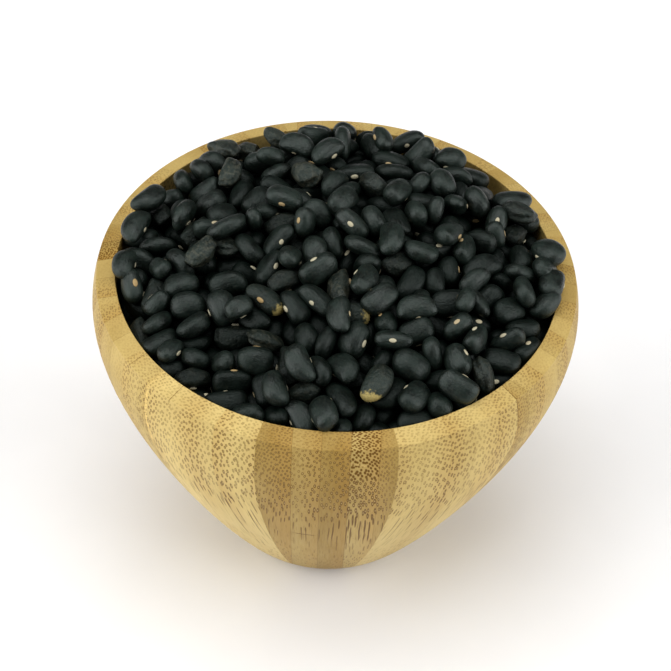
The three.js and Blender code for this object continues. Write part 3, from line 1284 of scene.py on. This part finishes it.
@dataclass(frozen=True)
class Settling:
    """Lets the beans sink onto the core in small steps, and pushes them apart where they meet.

    Each bean counts as six balls, in pairs at both ends and the middle. All sums run in a fixed
    order, so that the heap comes out the same each time. Sizes are in millimetres.

    Attributes:
        heap: The heap that they form.
        steps: Number of steps.
        sink: How far a free bean sinks in the first step, and ever less in the later ones.
        rounds: Rounds of pushing apart in each step.
        near: Beans whose middles are closer than this may meet.
        renew: Steps after which the pairs that may meet are found again.
        squeeze: Size of the balls, as a share of the bean's.
        swing: How hard a bean is to turn, as the square of a length.
        ease: How much each contact of a bean slows its moves.
        grip: Share of its slip to the side that a bean loses to friction in each step.
        digits: Decimals to which the beans' start is rounded.
        tiny: Least length that is divided by.
    """

    heap: BeanHeap
    steps: int = 170
    sink: float = 0.3
    rounds: int = 4
    near: float = 12.0
    renew: int = 4
    squeeze: float = 0.97
    swing: float = 6.0
    ease: float = 0.25
    grip: float = 0.5
    digits: int = 4
    tiny: float = 0.01

    def run(self, beans: list[Bean]) -> None:
        """Settles the beans.

        The start is rounded, to level out differences in its last digits.

        Args:
            beans: The sown beans, whose places are changed.
        """
        balls = [bean_balls(bean, self.squeeze) for bean in beans]
        offsets = np.array([[ball[:3] for ball in own] for own in balls]).round(self.digits)
        radii = np.array([[ball[3] for ball in own] for own in balls]).round(self.digits)
        middles = np.array([bean.place.translation / MM for bean in beans]).round(self.digits)
        turns = unit(np.array([bean.place.to_quaternion() for bean in beans]).round(self.digits))
        for step in range(self.steps):
            if step % self.renew == 0:
                pairs = self.near_pairs(middles)
            start = middles.copy()
            middles[:, 2] -= self.sink * (1 - step / self.steps)
            for _ in range(self.rounds):
                axes = turned_axes(turns)
                spots = middles[:, None] + sum(offsets[..., k, None] * axes[k][:, None] for k in range(3))
                met = self.contacts(spots, radii, middles, pairs)
                slow = 1 + self.ease * met.count[:, None]
                middles = middles + met.shove / slow
                turns = twisted(turns, met.twist / slow)
            held = self.grip * (met.shove[:, 2:] > 0)
            middles[:, :2] -= held * (middles - start)[:, :2]
        for bean, middle, turn in zip(beans, middles, turns):
            bean.place = Matrix.Translation(Vector(middle) * MM) @ Quaternion(turn).to_matrix().to_4x4()

    def near_pairs(self, middles: np.ndarray) -> tuple[np.ndarray, np.ndarray]:
        """The pairs of beans that are close enough to meet soon."""
        apart = middles[:, None] - middles[None]
        close = (apart * apart).sum(axis=2) < self.near**2
        return np.nonzero(np.triu(close, 1))

    def contacts(
        self, spots: np.ndarray, radii: np.ndarray, middles: np.ndarray, pairs: tuple[np.ndarray, np.ndarray]
    ) -> Contacts:
        """Finds where the beans meet each other, the core and the bowl.

        Args:
            spots: Places of each bean's balls.
            radii: Radii of the balls.
            middles: The beans' middles.
            pairs: The pairs of beans that may meet.

        Returns:
            The sums of the contacts.
        """
        met = Contacts(len(middles))
        one, two = pairs
        apart = spots[one][:, :, None] - spots[two][:, None]
        length = np.sqrt((apart * apart).sum(axis=3))
        overlap = radii[one][:, :, None] + radii[two][:, None] - length
        deepest = overlap.reshape(len(one), -1).argmax(axis=1)
        rows = np.arange(len(one))
        ball, other = deepest // radii.shape[1], deepest % radii.shape[1]
        depth = overlap[rows, ball, other]
        touch = np.nonzero(depth > 0)[0]
        one, two, ball, other, depth = (values[touch] for values in (one, two, ball, other, depth))
        normal = apart[touch, ball, other] / np.maximum(length[touch, ball, other], self.tiny)[:, None]
        where = spots[one, ball] - normal * (radii[one, ball] - depth / 2)[:, None]
        levers = [np.cross(where - middles[bean], normal) for bean in (one, two)]
        weight = 2 + sum((lever * lever).sum(axis=1) for lever in levers) / self.swing
        share = (depth / weight)[:, None]
        met.add(one, normal * share, levers[0] * share / self.swing)
        met.add(two, -normal * share, -levers[1] * share / self.swing)
        for normal, depth in (self.on_core(spots, radii), self.on_bowl(spots, radii)):
            bean, ball = np.nonzero(depth > 0)
            way = normal[bean, ball]
            where = spots[bean, ball] - way * radii[bean, ball][:, None]
            lever = np.cross(where - middles[bean], way)
            weight = 1 + (lever * lever).sum(axis=1) / self.swing
            share = (depth[bean, ball] / weight)[:, None]
            met.add(bean, way * share, lever * share / self.swing)
        return met

    def on_core(self, spots: np.ndarray, radii: np.ndarray) -> tuple[np.ndarray, np.ndarray]:
        """How the balls meet the core.

        Args:
            spots: Places of the balls.
            radii: Their radii.

        Returns:
            The way out of the core at each ball, and how deep the ball lies in it.
        """
        x, y, z = np.moveaxis(spots, -1, 0)
        bowl = self.heap.bowl
        bend = 2 * self.heap.fall / (bowl.rim_radius - bowl.rim_width) ** 2
        tilt = self.heap.lift
        way = unit(np.stack((bend * x - tilt[0], bend * y - tilt[1], np.ones_like(x)), axis=-1))
        return way, radii - (z - self.heap.core_height(x, y)) * way[..., 2]

    def on_bowl(self, spots: np.ndarray, radii: np.ndarray) -> tuple[np.ndarray, np.ndarray]:
        """How the balls meet the bowl's inner wall and the top of its rim.

        Args:
            spots: Places of the balls.
            radii: Their radii.

        Returns:
            The way out of the wall at each ball, and how deep the ball lies in it.
        """
        x, y, z = np.moveaxis(spots, -1, 0)
        bowl = self.heap.bowl
        inner = bowl.rim_radius - bowl.rim_width
        top = bowl.rim_height + bowl.rim_slope / 2
        out = np.maximum(np.sqrt(x * x + y * y), self.tiny)
        inward = np.minimum(out - inner, 0.0)
        above = np.maximum(z - top, 0.0)
        inside = (inward == 0) & (above == 0)
        inward = np.where(inside, -1.0, inward)
        far = np.maximum(np.sqrt(inward * inward + above * above), self.tiny)
        way = np.stack((inward * x / out, inward * y / out, above), axis=-1) / far[..., None]
        return way, radii - np.where(inside, inner - out, far)


def unit(vectors: np.ndarray) -> np.ndarray:
    """Vectors or quaternions at length 1."""
    return vectors / np.sqrt((vectors * vectors).sum(axis=-1))[..., None]


def twisted(turns: np.ndarray, twist: np.ndarray) -> np.ndarray:
    """Quaternions turned further by small rotation vectors."""
    w, x, y, z = turns.T
    a, b, c = twist.T / 2
    change = (-a * x - b * y - c * z, a * w + b * z - c * y, b * w + c * x - a * z, c * w + a * y - b * x)
    return unit(turns + np.stack(change, axis=1))


def turned_axes(turns: np.ndarray) -> tuple[np.ndarray, np.ndarray, np.ndarray]:
    """The X, Y and Z axes, turned by each quaternion."""
    w, x, y, z = turns.T
    ahead = (1 - 2 * (y * y + z * z), 2 * (x * y + w * z), 2 * (x * z - w * y))
    side = (2 * (x * y - w * z), 1 - 2 * (x * x + z * z), 2 * (y * z + w * x))
    up = (2 * (x * z + w * y), 2 * (y * z - w * x), 1 - 2 * (x * x + y * y))
    return tuple(np.stack(axis, axis=1) for axis in (ahead, side, up))


def bean_balls(bean: Bean, squeeze: float) -> list[tuple[float, float, float, float]]:
    """The six balls that a bean counts as while it settles.

    Args:
        bean: The bean.
        squeeze: Size of the balls, as a share of the bean's.

    Returns:
        Each ball's place on the bean and its radius, in millimetres.
    """
    shape = SHAPES[bean.kind]
    length, width, thickness = (
        size * stretch * squeeze
        for size, stretch in zip((shape.length, shape.width, shape.thickness), bean.form.to_scale())
    )
    balls = []
    for end, girth in ((-1, 0.82), (0, 1.0), (1, 0.82)):
        radius = thickness / 2 * girth
        for side in (-1, 1):
            balls.append((end * (length / 2 - radius), side * (width - thickness) / 2 * girth, 0.0, radius))
    return balls


# ---- The studio -------------------------------------------------------------------------------


@dataclass(frozen=True)
class Studio:
    """A pale floor, soft lights and the camera.

    Attributes:
        image: Width of the image in pixels.
        focal: Focal length in pixels of that image.
        distance: From the camera to the middle of the rim, in metres.
        elevation: Of the camera over the rim, in degrees.
        yaw: Turn of the camera to its right, in degrees.
        pitch: Turn of the camera upwards, in degrees.
        roll: Turn of the camera about its view, in degrees.
        sensor: Width of the camera's sensor, in millimetres.
    """

    image: float = 671.0
    focal: float = 1797.8
    distance: float = 0.45
    elevation: float = 43.0
    yaw: float = 0.05
    pitch: float = -2.08
    roll: float = -2.81
    sensor: float = 36.0

    def build(self) -> None:
        """Builds the whole studio."""
        self.floor()
        self.lights()
        self.camera()

    def floor(self) -> None:
        """Lays a large pale floor."""
        form = bmesh.new()
        bmesh.ops.create_grid(form, x_segments=8, y_segments=8, size=9.0)
        floor = new_piece("floor", form)
        sheet = NodeSheet("pale_floor")
        grain = sheet.noise(sheet.add("ShaderNodeTexCoord").outputs["Object"], 30.0)
        colour = sheet.blend(sheet.fade(grain, 0.3, 0.7), (0.9, 0.9, 0.91), (0.92, 0.92, 0.93))
        sheet.finish(colour, 0.8, None, 0.0, Specular_IOR_Level=0.2)
        floor.data.materials.append(sheet.material)

    def lights(self) -> None:
        """Hangs three soft lights and lights the room."""
        self.area("left", (-1.3, -0.4, 0.72), 1.5, 22.5)
        self.area("right", (1.32, -0.35, 0.72), 1.4, 19.5)
        self.area("top", (-0.1, 0.1, 1.6), 1.3, 17.5)
        world = bpy.data.worlds.new("room")
        world.use_nodes = True
        backdrop = world.node_tree.nodes["Background"]
        backdrop.inputs["Color"].default_value = (1.0, 1.0, 1.0, 1.0)
        backdrop.inputs["Strength"].default_value = 0.1
        bpy.context.scene.world = world

    def area(self, name: str, place: tuple[float, float, float], size: float, power: float) -> None:
        """Hangs one square light that faces the bowl.

        Args:
            name: Its name.
            place: Its place in metres.
            size: Length of its sides in metres.
            power: Its power in watts.
        """
        lamp = bpy.data.lights.new(name, "AREA")
        lamp.size = size
        lamp.energy = power
        light = bpy.data.objects.new(name, lamp)
        light.location = place
        light.rotation_euler = (Vector((0, 0, 0.08)) - Vector(place)).to_track_quat("-Z", "Y").to_euler()
        bpy.context.scene.collection.objects.link(light)

    def camera(self) -> None:
        """Sets up the camera, aimed a little beside the middle of the rim."""
        rise = math.radians(self.elevation)
        outward = Vector((0, -math.cos(rise), math.sin(rise)))
        right = Vector((1, 0, 0))
        up = Vector((0, math.sin(rise), math.cos(rise)))
        yaw, pitch, roll = (math.radians(a) for a in (self.yaw, self.pitch, self.roll))
        ahead = right * math.sin(yaw) - outward * math.cos(yaw)
        side = right * math.cos(yaw) + outward * math.sin(yaw)
        lifted = up * math.cos(pitch) - ahead * math.sin(pitch)
        ahead = up * math.sin(pitch) + ahead * math.cos(pitch)
        x_axis = side * math.cos(roll) - lifted * math.sin(roll)
        y_axis = side * math.sin(roll) + lifted * math.cos(roll)
        middle = Vector((0, 0, TurnedBowl.rim_height * MM))
        lens = bpy.data.cameras.new("camera")
        lens.sensor_width = self.sensor
        lens.sensor_fit = "HORIZONTAL"
        lens.lens = self.focal / self.image * self.sensor
        camera = bpy.data.objects.new("camera", lens)
        axes = Matrix((x_axis, y_axis, -ahead)).transposed().to_4x4()
        camera.matrix_world = Matrix.Translation(middle + outward * self.distance) @ axes
        bpy.context.scene.collection.objects.link(camera)
        bpy.context.scene.camera = camera


def main() -> None:
    """Builds the bowl, the heap and the studio."""
    bowl = TurnedBowl()
    shell = bowl.build()
    LOG.info("%s: %d faces", shell.name, len(shell.data.polygons))
    for piece in BeanHeap(bowl).build():
        LOG.info("%s: %d faces", piece.name, len(piece.data.polygons))
    Studio().build()
    bpy.context.scene.view_settings.view_transform = "Standard"


if __name__ == "__main__":
    main()
